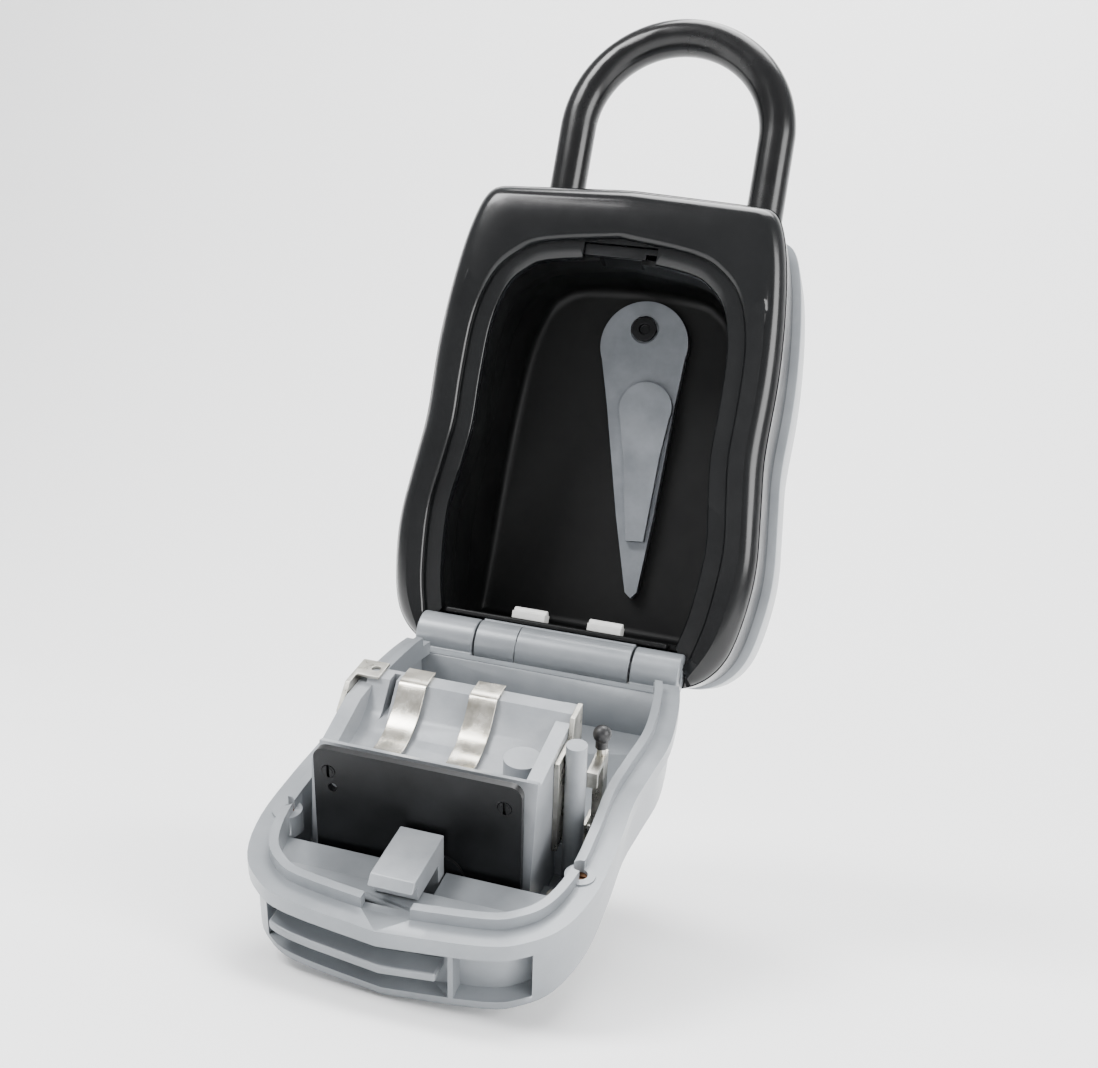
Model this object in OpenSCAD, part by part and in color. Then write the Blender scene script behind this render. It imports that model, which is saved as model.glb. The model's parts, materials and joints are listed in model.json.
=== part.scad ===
// Portable combination key safe: a hollow body on a shackle, with a door that carries the code wheels.
// Shapes are drawn about the middle of the door's hinge axis: +X right, +Y into the body, +Z up.
// home() then moves them, so that the origin is where the shackle's bow hangs on a bar.
// The door's pieces are drawn as they lie when it is shut, and on_door() swings them open.

/* [Body] */
// Top of the body above the hinge axis
body_top = 100; // [92:1:125]
// Foot of the body below the hinge axis
body_foot = 3; // [2:0.5:6]
// Depth of the body, front face to back face
body_d = 46; // [45:1:58]
// Width of the front jacket across its shoulders
shoulder_w = 67; // [64:0.5:82]
// Width of the front jacket across its chest
chest_w = 75.2; // [70:0.2:92]
// Width of the front jacket at its waist
waist_w = 74.6; // [70:0.2:92]
// Width of the front jacket across its hips
hip_w = 78.4; // [74:0.2:96]
// Depth of the front jacket
jacket_d = 25; // [20:0.5:30]
// Wall of the front jacket
jacket_wall = 2.2; // [1.6:0.1:3]
// How far the back shell stands out past the jacket on each side
shell_step = 2; // [1:0.1:3]
// Wall of the back shell
shell_wall = 2.6; // [2:0.1:3.5]

/* [Opening] */
// Width of the jacket's rail beside the opening
rail_w = 7.5; // [6.5:0.1:9]
// Height of the jacket above the opening
lintel_h = 10.6; // [10:0.1:16]
// Depth of the recess that the door's flange sits in
recess_d = 2.4; // [2:0.1:3.5]
// Width of the ledge at the bottom of the recess
ledge_w = 3.6; // [3:0.1:5]
// Thickness of the ledge
ledge_t = 2; // [1.5:0.1:3]
// Depth of the cavity behind the front face
cavity_d = 33.4; // [30:0.2:36]
// Wall of the cavity liner
liner_wall = 1.2; // [1:0.1:1.6]
// Height of the cavity's floor above the hinge axis
floor_z = 6; // [6:0.1:8]

/* [Shackle] */
// Distance between the middles of the shackle's legs
shackle_w = 49; // [42:0.5:54]
// Diameter of the steel bar
bar_d = 7; // [6:0.1:8]
// Thickness of the vinyl sleeve on the bar
sleeve_t = 0.9; // [0.6:0.1:1.2]
// Clear height between the body's top and the bow
bow_h = 48; // [40:1:80]
// Depth of the short leg in the body
short_leg = 14; // [12:0.5:16]
// Depth of the long leg in the body
long_leg = 50; // [40:1:60]
// Travel of the shackle
shackle_travel = 18; // [16:0.5:22]

/* [Door] */
// Gap between the door's flange and the opening
door_gap = 0.6; // [0.4:0.1:1]
// Depth of the door outside the body's front face
door_d = 13; // [12:0.5:16]
// Wall of the door shell
door_wall = 1.8; // [1.5:0.1:2.5]
// Angle that the door stands open
door_open = 120; // [90:1:125]
// Outer diameter of the hinge barrel
barrel_d = 9; // [8:0.2:9.4]
// Diameter of the hinge pin
hinge_pin_d = 3; // [2.5:0.1:4]
// Running clearance round a pin
running = 0.06; // [0.03:0.01:0.1]

/* [Code wheels] */
// Diameter of a code wheel
wheel_d = 22.8; // [20:0.2:24]
// Width of a code wheel
wheel_w = 6; // [5:0.1:6.4]
// Distance from one wheel to the next
wheel_pitch = 6.8; // [6.6:0.1:7]
// Diameter of the wheels' axle
axle_d = 3; // [2.5:0.1:4]
// Outer diameter of the code sleeve in each wheel
code_sleeve_d = 8.4; // [7.5:0.1:10]
// Height of the wheels' axis above the hinge axis, with the door shut
wheel_z = 53; // [52:0.5:55]
// How far the wheels stand out of the door's face
wheel_out = 2; // [1.5:0.1:2.5]

/* [Latch] */
// Travel of the latch
latch_travel = 4; // [3:0.2:4.4]
// Width of the latch's tongue
tongue_w = 7.4; // [5:0.2:9]

/* [Hidden] */
$fn = 64;
eps = 0.01;
gap = 0.3; // between pieces that move past each other
seat = 0.1; // between pieces that are pushed together
steps = 4; // points on each stretch of an outline

body_h = body_top + body_foot;
sleeve_r = bar_d / 2 + sleeve_t;
bend_r = shackle_w / 2;
bend_z = body_top + bow_h - bend_r + sleeve_r;
hang_z = bend_z + bend_r - sleeve_r;
liner_back = cavity_d + liner_wall;
shackle_y = liner_back + bar_d / 2 + 0.4;
shell_back = body_d - shell_wall;
crown = 1; // rise of the body's top at its middle
far = 300; // past every piece

// Catmull-Rom curve through the points p
function spline(p, n) = [for (i = [0:len(p) - 2]) for (k = [0:n - 1])
    let (a = p[max(i - 1, 0)], b = p[i], c = p[i + 1], d = p[min(i + 2, len(p) - 1)], t = k / n)
    0.5 * (2 * b + (c - a) * t + (2 * a - 5 * b + 4 * c - d) * t * t + (3 * b - a - 3 * c + d) * pow(t, 3))];
function back_to_front(p) = [for (i = [len(p) - 1:-1:0]) p[i]];
// A right half, from its lowest point to its highest, made into a closed loop
function whole(half, top) = concat(half, [top], [for (q = back_to_front(half)) if (q.x > 0.001) [-q.x, q.y]]);
// The outline a turned towards the outline b by the share t
function between(a, b, t) = [for (i = [0:len(a) - 1]) a[i] * (1 - t) + b[i] * t];

// Half outline of the body, widened by w, from the middle of its foot to the top corner
function body_half(w) = [[0, -body_foot], [hip_w / 2 - 18 + w, -body_foot], [hip_w / 2 - 11 + w, -body_foot + 0.5],
    [hip_w / 2 - 5.4 + w, 1.2], [hip_w / 2 - 2 + w, 8], [hip_w / 2 + w, 22], [(hip_w + waist_w) / 4 + w, 36],
    [waist_w / 2 + w, 47], [chest_w / 2 + w, 62], [chest_w / 2 - 0.6 + w, body_h - 28],
    [(chest_w + shoulder_w) / 4 + w, body_top - 13], [shoulder_w / 2 + w, body_top - 4.6],
    [shoulder_w / 2 - 2.4 + w, body_top - 0.9], [shoulder_w / 2 - 7 + w, body_top - 0.2], [0, body_top + crown]];
body_loop = whole(spline(body_half(0), steps), [0, body_top + crown]);
shell_loop = whole(spline(body_half(shell_step), steps), [0, body_top + crown]);

opening_top = body_top - lintel_h;
arch_w = chest_w / 2 - rail_w; // half width where the arch starts
open_half = [[hip_w / 2 - rail_w - 4, -14], [hip_w / 2 - rail_w - 3.4, 1], [hip_w / 2 - rail_w - 1, 12],
    [hip_w / 2 - rail_w + 0.2, 26], [(hip_w + waist_w) / 4 - rail_w, 37], [waist_w / 2 - rail_w, 46],
    [arch_w - 0.1, 57], [arch_w - 0.5, opening_top - 20], [arch_w - 3, opening_top - 10.6],
    [arch_w - 7.6, opening_top - 5.2], [arch_w - 14, opening_top - 2.2], [0, opening_top]];
open_loop = whole(spline(open_half, steps), [0, opening_top]);
// Outline of the cavity where it meets its back wall
back_w = waist_w / 2 - rail_w - ledge_w + 0.4;
back_half = [[back_w, -14], [back_w, 1], [back_w, 12], [back_w, 26], [back_w, 37], [back_w - 0.1, 46],
    [back_w - 0.5, 57], [back_w - 1.6, opening_top - 19], [back_w - 4.4, opening_top - 9],
    [back_w - 8, opening_top - 5], [back_w - 13, opening_top - 3], [0, opening_top - 2]];
back_loop = whole(spline(back_half, steps), [0, opening_top - 2]);

module home() translate([0, -shackle_y, -hang_z]) children();
module on_door() home() rotate([door_open, 0, 0]) children();

// Outlines in XZ, each drawn d inside its loop
module body_shape(d) offset(delta = -d) polygon(body_loop);
module shell_shape(d) offset(delta = -d) polygon(shell_loop);
module open_shape(d) offset(delta = -d) polygon(open_loop);
module door_shape(d) offset(delta = -d - door_gap) polygon(open_loop);
// A flat shape in XZ made solid from y0 to y1
module layer(y0, y1) translate([0, y1, 0]) rotate([90, 0, 0]) linear_extrude(y1 - y0) offset(delta = 0) children();
module keep(x0, z0, x1, z1) intersection() {
    children();
    translate([x0, z0]) square([x1 - x0, z1 - z0]);
}
module keep_above(z) keep(-far, z, far, far) children();
module keep_below(z) keep(-far, -far, far, z) children();
// A block from corner a to corner b
module block(a, b) translate(a) cube(b - a);
module along_x(x0, x1, d) translate([x0, 0, 0]) rotate([0, 90, 0]) cylinder(d = d, h = x1 - x0);
module along_y(y0, y1, d) translate([0, y0, 0]) rotate([-90, 0, 0]) cylinder(d = d, h = y1 - y0);
// A profile in YZ made solid from x0 to x1
module profile(x0, x1, pts) translate([x0, 0, 0]) rotate([90, 0, 90]) linear_extrude(x1 - x0) polygon(pts);
module legs() for (s = [-1, 1]) translate([s * bend_r, shackle_y, 0]) children();

// ---- body ----
post_x = 15;
post_z = [16, 60];
module posts() for (s = [-1, 1], z = post_z) translate([s * post_x, 0, z]) children();

screw_d = 3;
screw_head_d = 5.6;
screw_head_t = 1.6;
pad_d = 11;
pad_t = 1.6;
pad_sink = 0.8;

back_round = [[4.6, 0.9], [2.6, 2.6]]; // depth and inset of the steps round the back's edge
module back_shell() color("#a9adb3") home() difference() {
    union() {
        layer(jacket_d - 7, jacket_d + seat) difference() {
            body_shape(jacket_wall + seat);
            body_shape(jacket_wall + seat + 2);
        }
        layer(jacket_d + seat, jacket_d + 2) difference() {
            shell_shape(0);
            body_shape(jacket_wall + seat + 2);
        }
        layer(jacket_d + 2, body_d - back_round[0][0]) difference() {
            shell_shape(0);
            shell_shape(shell_wall);
        }
        layer(body_d - back_round[0][0], shell_back) difference() {
            shell_shape(back_round[0][1]);
            shell_shape(shell_wall);
        }
        layer(shell_back, body_d - 1) shell_shape(back_round[0][1]);
        layer(body_d - 1, body_d) shell_shape(back_round[1][1]);
    }
    legs() translate([0, 0, body_top - 8]) cylinder(d = bushing_d + 2 * seat, h = 12);
    posts() along_y(shell_back - 1, body_d - pad_sink - screw_head_t + eps, screw_d + 0.4);
    posts() along_y(body_d - pad_sink - screw_head_t, body_d - pad_sink + eps, screw_head_d + 0.4);
    posts() along_y(body_d - pad_sink, body_d + 1, pad_d + 0.2);
}

front_round = [[0.8, 2.8], [2.4, 1.1]]; // depth and inset of the steps round the front's edge
module front_jacket() color("#1a1b1d") home() difference() {
    union() {
        layer(0, front_round[0][0]) difference() {
            body_shape(front_round[0][1]);
            open_shape(0);
        }
        layer(front_round[0][0], recess_d) difference() {
            body_shape(front_round[1][1]);
            open_shape(0);
        }
        layer(recess_d, recess_d + ledge_t) difference() {
            body_shape(0);
            open_shape(ledge_w);
        }
        layer(recess_d + ledge_t, jacket_d) difference() {
            body_shape(0);
            body_shape(jacket_wall);
        }
    }
    // notch for the strike plate
    block([-strike_w / 2 - seat, recess_d - 1, strike_z - 2], [strike_w / 2 + seat, recess_d + ledge_t + 1, strike_z + strike_h]);
    // room for the hinge barrel
    block([-barrel_w / 2 - gap, -1, -20], [barrel_w / 2 + gap, barrel_d / 2 + 0.7, barrel_d / 2 + 0.4]);
}

liner_front = recess_d + ledge_t + seat;
lip_y = 0.2; // front of the floor's lip
liner_steps = 7; // the cavity narrows towards its back in this many steps
module ledge_shape(k, d) keep_above(floor_z - d) intersection() {
    offset(delta = d) polygon(between(open_loop, back_loop, k / (liner_steps - 1)));
    offset(delta = d - ledge_w * (1 - k / (liner_steps - 1))) polygon(open_loop);
}
module cavity_liner() color("#151617") home() difference() {
    union() {
        for (k = [0:liner_steps - 1])
            layer(liner_y(k), liner_y(k + 1)) difference() {
                ledge_shape(k, liner_wall);
                ledge_shape(k, 0);
            }
        layer(cavity_d, liner_back) ledge_shape(liner_steps - 1, liner_wall);
        layer(liner_front, liner_front + 1.2) keep_above(floor_z - liner_wall) difference() {
            ledge_shape(0, 2.6);
            ledge_shape(0, 0.2);
        }
        // lip of the floor, over the hinge barrel
        block([-barrel_w / 2 + 4, lip_y, floor_z - liner_wall + 0.05], [barrel_w / 2 - 4, liner_front + 2, floor_z]);
        posts() along_y(liner_back - 0.5, shell_back, 6.4);
    }
    posts() along_y(liner_back + 0.6, shell_back + 1, screw_d + seat);
    translate([pivot_x, 0, pivot_z]) along_y(cavity_d - 2, liner_back + 1, pivot_d + seat);
    // pocket that the tongue rises into
    block([-tongue_w / 2 - 0.6, liner_front - 1, strike_z - 1], [tongue_w / 2 + 0.6, 9, strike_z + 4]);
}
function liner_y(k) = round(20 * (liner_front + (cavity_d - liner_front) * k / liner_steps)) / 20;

bushing_d = 10.4;
block_z = opening_top - 2 + liner_wall + 1.2; // underside of the shackle block
block_top = body_top - 3.3;
bushing_z = block_top - 1.2;
bolt_z = block_z + 2.8;
bolt_d = 4.4;
nose_in = 2.4; // how far a bolt's nose goes into its leg
notch_extra = 0.3;
bolt_out = bend_r - bar_d / 2 - gap; // end of a drawn-back bolt
bolt_in = 9;
tail_t = 1.4; // thickness of a bolt's tail, that the lever's cam pushes
cam_room = bolt_in + tail_t + nose_in + 2 * gap; // half length of the space for both tails
module shackle_block() color("#8d9096") home() difference() {
    block([-bend_r - 6, jacket_d + 2.4, block_z], [bend_r + 6, shell_back - seat, block_top]);
    legs() translate([0, 0, block_z - 1]) cylinder(d = bar_d + 2 * gap, h = 12);
    legs() translate([0, 0, bushing_z]) cylinder(d = bushing_d + 2 * seat, h = 4);
    // bore for both bolts, open in the middle for the lever's cam
    translate([0, shackle_y, bolt_z]) along_x(-bend_r, bend_r, bolt_d + 2 * gap);
    block([-cam_room, shackle_y - 3, block_z - 1], [cam_room, shackle_y + 3, bolt_z + 2]);
}

strike_w = 16;
strike_h = 2.6;
strike_z = opening_top - ledge_w;
strike_t = 1.2;
module strike_plate() color("#2a2b2d") home() difference() {
    block([-strike_w / 2, recess_d + ledge_t - strike_t, strike_z], [strike_w / 2, recess_d + ledge_t, strike_z + strike_h - seat]);
    block([strike_w / 2 - 2.4, 0, strike_z - 1], [strike_w / 2 + 1, 10, strike_z + 1.2]);
}

barrel_w = 56;
knuckles = [-15.2, -6.2, 18]; // where the barrel is cut, left to right
cut = 0.5; // width of each cut
leaf_t = 2.4;
module hinge_leaf() color("#a9adb3") home() difference() {
    union() {
        along_x(knuckles[0] + cut / 2, knuckles[1] - 0.1, barrel_d);
        along_x(knuckles[1] + 0.1, knuckles[2] - cut / 2, barrel_d);
        block([knuckles[1] - 0.2, -barrel_d / 2 + 0.3, -1], [knuckles[1] + 0.2, 1, 1]);
        block([knuckles[0] + cut / 2, 0, floor_z - liner_wall - leaf_t], [knuckles[2] - cut / 2, jacket_d - 4, floor_z - liner_wall]);
    }
    along_x(-barrel_w, barrel_w, hinge_pin_d);
}

module hinge_pin() color("#c9cbce") home() along_x(-barrel_w / 2 + 1, barrel_w / 2 - 1, hinge_pin_d);

pads_x = [-6.5, 10];
module floor_pads() color("#d9dadc") home() for (x = pads_x) translate([x, 3, floor_z]) {
    block([-3.6, 0, 0], [3.6, 4, 1.6]);
    translate([-3.6, 2, 1.6]) rotate([0, 90, 0]) cylinder(d = 1.8, h = 7.2);
}

module shackle_bushings() color("#202124") home() legs() difference() {
    union() {
        translate([0, 0, bushing_z]) cylinder(d = bushing_d, h = body_top + crown - bushing_z);
        translate([0, 0, body_top + crown - eps]) cylinder(d = bushing_d + 1.2, h = 0.7);
    }
    translate([0, 0, bushing_z - 1]) cylinder(d = bar_d + 2 * gap, h = 10);
}

// ---- shackle release ----
pivot_x = 2.2;
pivot_z = 77.4;
pivot_d = 4.6;
lever_t = 2.6;
lever_rest = 6.5; // lean of the lever at rest
lever_len = 63;
head_r = 10.4;
lever_front = cavity_d - gap - lever_t;
module release_lever() color("#989ca2") home() translate([pivot_x, 0, pivot_z]) rotate([0, -lever_rest, 0]) difference() {
    union() {
        translate([0, lever_front + lever_t, 0]) rotate([90, 0, 0]) linear_extrude(lever_t) union() {
            translate([0, -3.6]) circle(r = head_r);
            polygon([[-head_r, -3.6], [head_r, -3.6], [8, -18], [4.4, -44], [1.4, -lever_len + 1.4],
                [0, -lever_len], [-1.4, -lever_len + 1.4], [-4.4, -44], [-8, -18]]);
        }
        translate([0, lever_front + eps, 0]) rotate([90, 0, 0]) linear_extrude(1.8) union() {
            translate([1.4, -19]) circle(r = 6.2);
            polygon([[-4.8, -19], [7.6, -19], [5.4, -30], [2.6, -50], [-1.6, -50], [-3.2, -30]]);
        }
    }
    along_y(lever_front - 3, cavity_d + 1, pivot_d + 2 * running);
    along_y(lever_front - 3, lever_front + 0.8, pivot_d + 2);
}
module lever_pivot() color("#33363a") home() translate([pivot_x, 0, pivot_z]) difference() {
    union() {
        along_y(lever_front - 0.9, liner_back + 1.4, pivot_d);
        along_y(lever_front - 0.9, lever_front + 0.3, pivot_d + 1.2);
        along_y(liner_back + eps, liner_back + 1.4, pivot_d + 2.4);
    }
    along_y(lever_front - 2, lever_front, 2.4);
}

module lock_bolt(s) home() translate([0, shackle_y, bolt_z]) mirror([s < 0 ? 1 : 0, 0, 0]) union() {
    along_x(bolt_in, bolt_out - 2, bolt_d);
    translate([bolt_out - 2 - eps, 0, 0]) rotate([0, 90, 0]) cylinder(d1 = bolt_d, d2 = bolt_d - 2.4, h = 2);
    block([bolt_in, -1.4, -bolt_z + block_z + 0.4], [bolt_in + tail_t, 1.4, 0]);
}
module lock_bolt_left() color("#c4c6c9") lock_bolt(-1);
module lock_bolt_right() color("#c4c6c9") lock_bolt(1);

module rear_screws() color("#b9bbbf") home() posts() difference() {
    union() {
        along_y(liner_back + 2, body_d - pad_sink - screw_head_t, screw_d);
        along_y(body_d - pad_sink - screw_head_t, body_d - pad_sink - 0.1, screw_head_d);
    }
    translate([0, body_d - pad_sink - 1, 0]) rotate([-90, 0, 0]) cylinder(d = 2.4, h = 2, $fn = 6);
}
module rear_pads() color("#26272a") home() posts() along_y(body_d - pad_sink, body_d - pad_sink + pad_t, pad_d);

// ---- shackle ----
module bow(d) translate([0, shackle_y, bend_z]) rotate([90, 0, 0]) rotate_extrude(angle = 180) translate([bend_r, 0]) circle(d = d);
// A leg's notch, facing the middle of the body, for the bolt's nose
module notch(s, z) translate([s * (bend_r - bar_d / 2 + (nose_in + notch_extra) / 2), shackle_y, z])
    cube([nose_in + notch_extra + eps, bar_d + 1, bolt_d + 0.8], center = true);
module shackle_bar() color("#b4b7bb") home() difference() {
    union() {
        bow(bar_d);
        translate([-bend_r, shackle_y, body_top - short_leg]) cylinder(d = bar_d, h = bend_z - body_top + short_leg);
        translate([bend_r, shackle_y, body_top - long_leg]) cylinder(d = bar_d, h = bend_z - body_top + long_leg);
    }
    notch(-1, bolt_z);
    notch(1, bolt_z);
    notch(1, bolt_z - shackle_travel);
}
sleeve_z = body_top + crown + 0.7 + gap;
module shackle_sleeve() color("#141415") home() difference() {
    union() {
        bow(2 * sleeve_r);
        legs() translate([0, 0, sleeve_z]) cylinder(r = sleeve_r, h = bend_z - sleeve_z);
    }
    bow(bar_d);
    legs() translate([0, 0, sleeve_z - 1]) cylinder(d = bar_d, h = bend_z - sleeve_z + 1);
}

// ---- door ----
door_foot = barrel_d / 2 + 0.8;
flange_y = -1; // outer side of the flange
flange_top = recess_d - 0.6;
lip_in = ledge_w - door_gap + 0.5; // flange edge to the raised lip
lip_t = 1.5;
lip_top = flange_top + 2;
skin_in = 1.4; // flange edge to the shell's side
pan_y = -door_d + door_wall;
end_z = opening_top - 10.9; // where the solid end of the door begins
pan_in = skin_in + door_wall;
wheel_y = -door_d - wheel_out + wheel_d / 2;
window = [29.2, 2 * sqrt(pow(wheel_d / 2, 2) - pow(wheel_y - pan_y, 2)) + 2 * gap];
rim_hole = [25.4, 67];
slide_z = 25;
slide_slot = [6, 11];
end_posts = [-21.5, 10.4, 22.4]; // edges of the two pockets in the door's end
pocket_in = 3; // depth of those pockets

door_round = [[0.7, 1.7], [1.6, 0.5]]; // depth and inset of the steps round the face's edge
module pan_shape() keep_below(end_z) door_shape(pan_in);
module mouth_shape() keep_below(end_z) door_shape(lip_in + lip_t);
module pockets_shape() for (i = [0, 1]) keep(end_posts[i] + 0.8 * i, end_z - 4, end_posts[i + 1], far) difference() {
    door_shape(-2);
    door_shape(skin_in + pocket_in);
}
module door_shell() color("#aeb2b8") on_door() difference() {
    union() {
        layer(-door_d, -door_d + door_round[0][0]) keep_above(door_foot) door_shape(skin_in + door_round[0][1]);
        layer(-door_d + door_round[0][0], -door_d + door_round[1][0])
            keep_above(door_foot) door_shape(skin_in + door_round[1][1]);
        layer(-door_d + door_round[1][0], pan_y) keep_above(door_foot) door_shape(skin_in);
        layer(pan_y, -door_d + 2.6) keep_above(door_foot) difference() {
            door_shape(skin_in);
            pan_shape();
        }
        layer(-door_d + 2.6, flange_y - 1.4) keep_above(door_foot) difference() {
            door_shape(skin_in);
            pan_shape();
            pockets_shape();
        }
        layer(flange_y - 1.4, flange_y) keep_above(door_foot) difference() {
            door_shape(skin_in);
            pan_shape();
        }
        layer(flange_y, flange_top) keep_above(door_foot + 1.4) difference() {
            door_shape(0);
            mouth_shape();
        }
        layer(flange_top, lip_top) keep_above(floor_z + 3) difference() {
            door_shape(lip_in);
            door_shape(lip_in + lip_t);
            keep(-tongue_w / 2 - gap, end_z, tongue_w / 2 + gap, far) door_shape(0);
        }
        // wall above the hinge barrel
        block([-barrel_w / 2 + 0.6, pan_y - 0.5, door_foot], [barrel_w / 2 - 0.6, -0.6, door_foot + 1.6]);
        // bosses beside the rim
        for (s = [-1, 1]) translate([s * rim_hole[0], 0, rim_hole[1]]) along_y(-2, flange_top + 0.25, 5);
    }
    for (s = [-1, 1]) translate([s * rim_hole[0], 0, rim_hole[1]]) along_y(-1.2, lip_top + 1, 2.4 + seat);
    // window for the wheels and slot for the slide's stem
    block([-window[0] / 2, -door_d - 1, wheel_z - window[1] / 2], [window[0] / 2, pan_y + 1, wheel_z + window[1] / 2]);
    block([-slide_slot[0] / 2, -door_d - 1, slide_z - slide_slot[1] / 2],
        [slide_slot[0] / 2, pan_y + 1, slide_z + slide_slot[1] / 2]);
}

// Ends of the hinge barrel, each with a short arm up to the door
module door_knuckles() color("#aeb2b8") on_door() difference() {
    for (e = [[-barrel_w / 2, knuckles[0] - cut / 2], [knuckles[2] + cut / 2, barrel_w / 2]]) {
        along_x(e[0], e[1], barrel_d);
        block([e[0], -barrel_d / 2 + 0.2, 0.1], [e[1], -0.7, door_foot]);
    }
    along_x(-barrel_w, barrel_w, hinge_pin_d + 2 * running);
}

// Ears on the door's face that hold the shutter's pin
module shutter_ears() color("#aeb2b8") on_door() difference() {
    for (s = [-1, 1]) translate([s * (shutter_w / 2 - 1), 0, shutter_z]) {
        translate([0, shutter_y, 0]) along_x(-1, 1, shutter_barrel);
        block([-0.9, shutter_y, -shutter_barrel / 2 + 0.2], [0.9, -door_d, shutter_barrel / 2 - 0.2]);
    }
    translate([0, shutter_y, shutter_z]) along_x(-shutter_w, shutter_w, shutter_pin_d);
}

// Deck between the mechanism's plate and the door's end, in two halves beside the tongue
deck_y = [flange_y - 1.8, flange_y];
deck_z = 69.9;
module end_deck() color("#aeb2b8") on_door() layer(deck_y[0], deck_y[1]) difference() {
    keep(-far, deck_z, far, end_z) door_shape(pan_in);
    keep(-tongue_w / 2 - gap, deck_z - 1, tongue_w / 2 + gap, far) door_shape(0);
}

// Curved ledge in the left pocket, that a thumb pulls the door open by
thumb_y = [-6.9, -5.3];
module thumb_lip() color("#aeb2b8") on_door() layer(thumb_y[0], thumb_y[1])
    keep(end_posts[0] + 1.4, end_z + 1, end_posts[1] - 1.6, far) difference() {
        door_shape(0.5);
        door_shape(skin_in + pocket_in);
    }

// ---- mechanism on the door ----
house_x = [-20, 17.4];
house_z = [39, 67.6];
ridge_y = 16.6;
cheek = window[0] / 2 - 0.2; // inside of the housing's cheeks
saddle = [[house_z[0] + 1, pan_y + seat], [house_z[0] + 1.6, ridge_y - 1.4], [house_z[0] + 3, ridge_y],
    [house_z[0] + 6.2, ridge_y], [house_z[0] + 7.6, ridge_y - 1.6], [house_z[0] + 10, ridge_y - 4.2],
    [house_z[0] + 13.4, ridge_y - 6.2], [house_z[0] + 17.4, ridge_y - 7], [house_z[0] + 20.6, ridge_y - 6.4],
    [house_z[0] + 23, ridge_y - 4.4], [house_z[0] + 24.4, ridge_y - 1.4], [house_z[0] + 25.6, ridge_y - 1],
    [house_z[1], pan_y + 8], [house_z[1], pan_y + seat]];
function zy(p) = [for (q = p) [q[1], q[0]]];
wheel_room = wheel_d / 2 + 0.8;
module dial_housing() color("#a3a7ad") on_door() difference() {
    union() {
        profile(house_x[0], house_x[1], zy(saddle));
        // left cheek, rib along the right edge and round pad
        profile(house_x[0] - 1.6, house_x[0] + 1.2, zy([[house_z[0] + 1, pan_y + seat], [house_z[0] + 2, ridge_y - 1],
            [house_z[0] + 12, ridge_y - 1], [house_z[1] - 3, ridge_y - 5], [house_z[1] - 1, pan_y + seat]]));
        profile(house_x[1] - 2.6, house_x[1], zy([[house_z[0] + 2, 0], [house_z[0] + 2, ridge_y - 0.6],
            [house_z[0] + 9, ridge_y - 1.4], [house_z[1] - 3, ridge_y - 2.4], [house_z[1] - 3, 0]]));
        translate([house_x[1] - 5.6, 0, house_z[0] + 16]) along_y(ridge_y - 9, ridge_y - 3.6, 6.4);
        // column beside the right cheek, and its web
        translate([column[0], 0, column[1]]) along_y(pan_y + seat, ridge_y - 1, 3.6);
        block([house_x[1] - 1, pan_y + seat, column[1] - 1], [column[0], -4.2, column[1] + 1]);
        for (f = feet) block([f[0] - 3, pan_y + seat, f[1] - 3], [f[0] + 3, pan_y + 2.4, f[1] + 3]);
    }
    translate([0, wheel_y, wheel_z]) along_x(-cheek, cheek, 2 * wheel_room);
    block([-cheek, pan_y - 1, wheel_z - wheel_room], [cheek, wheel_y, wheel_z + wheel_room]);
    translate([0, wheel_y, wheel_z]) along_x(-cheek - 2.8, cheek + 1.6, axle_d);
    // slot beside the left spring
    block([springs_x[0] - 4.6, ridge_y - 5, house_z[0] + 4], [springs_x[0] - 3.4, ridge_y + 1, house_z[0] + 13]);
    for (f = feet) translate([f[0], 0, f[1]]) along_y(pan_y - 1, pan_y + 4, 1.8);
    // seats for the plate's screws
    for (p = plate_holes) translate([p[0], p[1], house_z[1] - 4]) cylinder(d = 1.6, h = 6);
}
feet = [[-13, house_z[0] - 1.4], [12, house_z[0] - 1.4], [20.2, 62]];
column = [20.2, 52.2];

module housing_screws() color("#c4c6c9") on_door() for (f = feet) translate([f[0], 0, f[1]]) difference() {
    union() {
        along_y(pan_y + 0.2, pan_y + 2.5, 1.8);
        along_y(pan_y + 2.4 + eps, pan_y + 3.6, 3.2);
    }
    block([-0.3, pan_y + 3.2, -2], [0.3, pan_y + 4, 2]);
}

module dial_axle() color("#c9cbce") on_door() translate([0, wheel_y, wheel_z]) along_x(-cheek - 2.8, cheek + 1.6, axle_d);
wheel_x = [for (i = [-1.5:1:1.5]) i * wheel_pitch];
module code_wheel(i) on_door() translate([wheel_x[i], wheel_y, wheel_z]) difference() {
    along_x(-wheel_w / 2, wheel_w / 2, wheel_d);
    along_x(-wheel_w, wheel_w, code_sleeve_d);
    for (k = [0:9]) rotate([k * 36 + 18, 0, 0]) translate([0, 0, wheel_d / 2 + 0.6]) along_x(-wheel_w, wheel_w, 3.4);
    for (s = [-1, 1]) translate([s * wheel_w / 2, 0, 0]) difference() {
        along_x(-0.4, 0.4, wheel_d - 6);
        along_x(-1, 1, code_sleeve_d + 2);
    }
}
module code_wheel_1() color("#1d1e20") code_wheel(0);
module code_wheel_2() color("#1d1e20") code_wheel(1);
module code_wheel_3() color("#1d1e20") code_wheel(2);
module code_wheel_4() color("#1d1e20") code_wheel(3);
module code_sleeve(i) on_door() translate([wheel_x[i], wheel_y, wheel_z]) difference() {
    along_x(-wheel_w / 2 - 0.15, wheel_w / 2 + 0.15, code_sleeve_d);
    along_x(-wheel_w, wheel_w, axle_d + 2 * running);
    block([-wheel_w, -0.8, code_sleeve_d / 2 - 1], [-wheel_w / 2 + 1.6, 0.8, code_sleeve_d]);
}
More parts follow.
